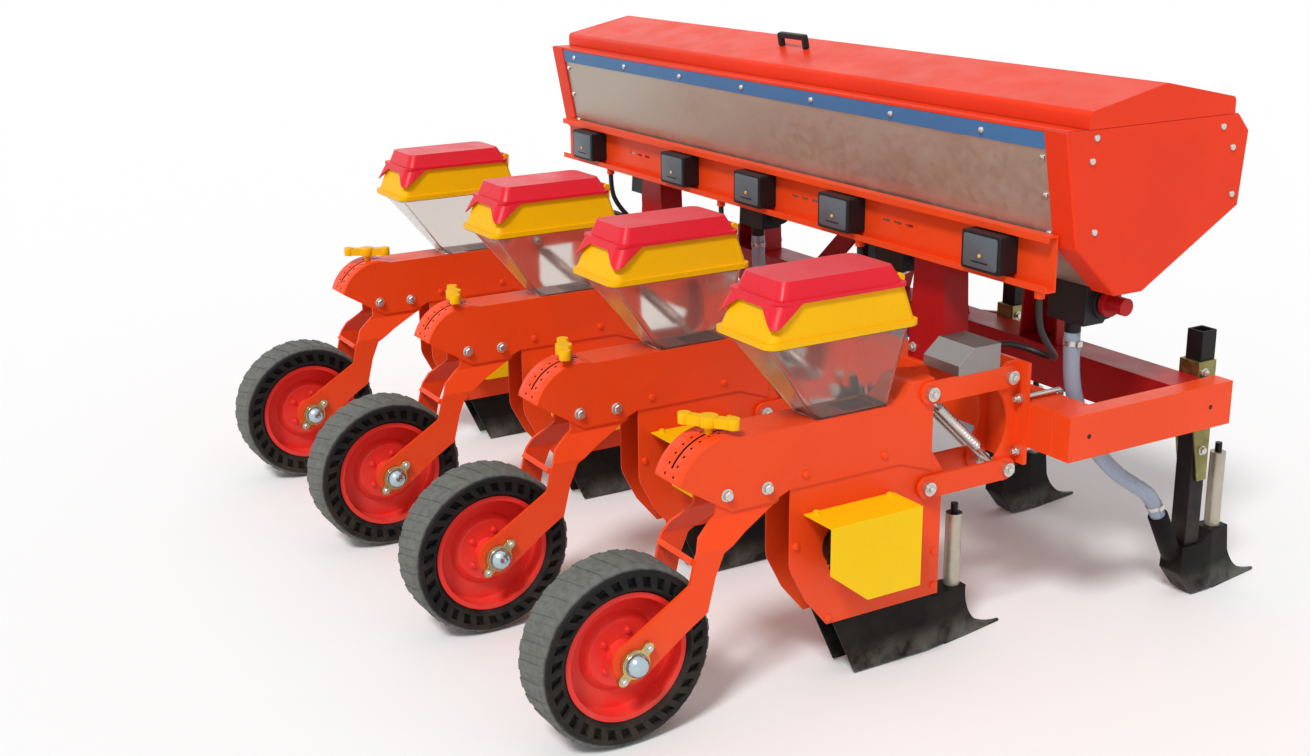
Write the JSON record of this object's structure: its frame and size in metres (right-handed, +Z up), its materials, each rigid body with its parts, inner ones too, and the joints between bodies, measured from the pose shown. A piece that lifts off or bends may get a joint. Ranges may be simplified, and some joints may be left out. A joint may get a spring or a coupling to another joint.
{
  "type": "four-row precision seeder",
  "caption": "Tractor-mounted precision seeder: row units on parallel links with press wheels and lidded seed bins, under a long lidded fertiliser hopper with openers.",
  "frame": {"origin": "on the ground under the middle of the machine's box", "axes": "+X to the machine's right-hand side, +Y forward to the tractor, +Z up"},
  "size_m": [2.2, 1.8919, 1.2319],
  "materials": {
    "frame_paint": "gloss",
    "hitch_paint": "gloss",
    "hopper_red": "gloss",
    "steel_sheet": "satin",
    "blue_strip": "satin",
    "black_plastic": "matte",
    "black_metal": "satin",
    "zinc": "satin",
    "olive_zinc": "satin",
    "sleeve_grey": "satin",
    "hose_clear": "gloss",
    "yellow_metal": "gloss",
    "yellow_plastic": "gloss",
    "bin_clear": "gloss",
    "lid_red": "gloss",
    "rim_red": "gloss",
    "tyre_rubber": "matte",
    "cable_black": "matte"
  },
  "bodies": {
    "frame": {"chain_guards": "yellow_metal", "controllers": "zinc", "depth_handles": "yellow_plastic", "drive_motors": "black_metal", "fert_boots": "black_metal", "fert_brackets": "olive_zinc", "fert_hose_1": "hose_clear", "fert_hose_2": "hose_clear", "fert_hose_3": "hose_clear", "fert_hose_4": "hose_clear", "fert_meters": "black_plastic", "fert_shanks": "black_metal", "fert_sleeves": "sleeve_grey", "front_beam": "hitch_paint", "hitch_brackets": "hitch_paint", "hitch_mast": "hitch_paint", "hitch_pins": "zinc", "hopper_end_caps": "hopper_red", "hopper_hinges": "zinc", "hopper_posts": "hitch_paint", "hopper_strip": "blue_strip", "hopper_trough": "steel_sheet", "hub_bearings": "zinc", "link_pins": "zinc", "link_springs": "zinc", "linkage_heads": "frame_paint", "meter_housings": "frame_paint", "meter_shaft": "hitch_paint", "monitor_bar": "frame_paint", "monitor_boxes": "black_plastic", "parallel_links": "frame_paint", "rear_beam": "frame_paint", "seed_bins": "bin_clear", "seed_collars": "yellow_plastic", "seed_meters": "black_plastic", "seed_openers": "black_metal", "seed_sleeves": "sleeve_grey", "side_rails": "frame_paint", "unit_bodies": "frame_paint", "unit_cable_1": "cable_black", "unit_cable_2": "cable_black", "unit_cable_3": "cable_black", "unit_cable_4": "cable_black", "unit_clamps": "zinc", "wheel_forks": "frame_paint"},
    "wheel_1": {"tyre_1": "tyre_rubber", "rim_1": "rim_red"},
    "wheel_2": {"tyre_2": "tyre_rubber", "rim_2": "rim_red"},
    "wheel_3": {"tyre_3": "tyre_rubber", "rim_3": "rim_red"},
    "wheel_4": {"tyre_4": "tyre_rubber", "rim_4": "rim_red"},
    "seed_lid_1": {"seed_lid_1": "lid_red"},
    "seed_lid_2": {"seed_lid_2": "lid_red"},
    "seed_lid_3": {"seed_lid_3": "lid_red"},
    "seed_lid_4": {"seed_lid_4": "lid_red"},
    "hopper_lid": {"hopper_lid": "hopper_red", "lid_handle": "black_plastic"}
  },
  "joints": [
    {"name": "wheel_1_spin", "type": "hinge", "parent": "frame", "child": "wheel_1", "pos_m": [-0.9, -0.756, 0.19], "axis": [1, 0, 0], "continuous": true},
    {"name": "wheel_2_spin", "type": "hinge", "parent": "frame", "child": "wheel_2", "pos_m": [-0.3, -0.756, 0.19], "axis": [1, 0, 0], "continuous": true},
    {"name": "wheel_3_spin", "type": "hinge", "parent": "frame", "child": "wheel_3", "pos_m": [0.3, -0.756, 0.19], "axis": [1, 0, 0], "continuous": true},
    {"name": "wheel_4_spin", "type": "hinge", "parent": "frame", "child": "wheel_4", "pos_m": [0.9, -0.756, 0.19], "axis": [1, 0, 0], "continuous": true},
    {"name": "seed_lid_1_hinge", "type": "hinge", "parent": "frame", "child": "seed_lid_1", "pos_m": [-0.9, -0.118, 0.854], "axis": [-1, 0, 0], "range_deg": [0, 100]},
    {"name": "seed_lid_2_hinge", "type": "hinge", "parent": "frame", "child": "seed_lid_2", "pos_m": [-0.3, -0.118, 0.854], "axis": [-1, 0, 0], "range_deg": [0, 100]},
    {"name": "seed_lid_3_hinge", "type": "hinge", "parent": "frame", "child": "seed_lid_3", "pos_m": [0.3, -0.118, 0.854], "axis": [-1, 0, 0], "range_deg": [0, 100]},
    {"name": "seed_lid_4_hinge", "type": "hinge", "parent": "frame", "child": "seed_lid_4", "pos_m": [0.9, -0.118, 0.854], "axis": [-1, 0, 0], "range_deg": [0, 100]},
    {"name": "hopper_lid_hinge", "type": "hinge", "parent": "frame", "child": "hopper_lid", "pos_m": [0, 0.654, 1.141], "axis": [-1, 0, 0], "range_deg": [0, 100]}
  ]
}
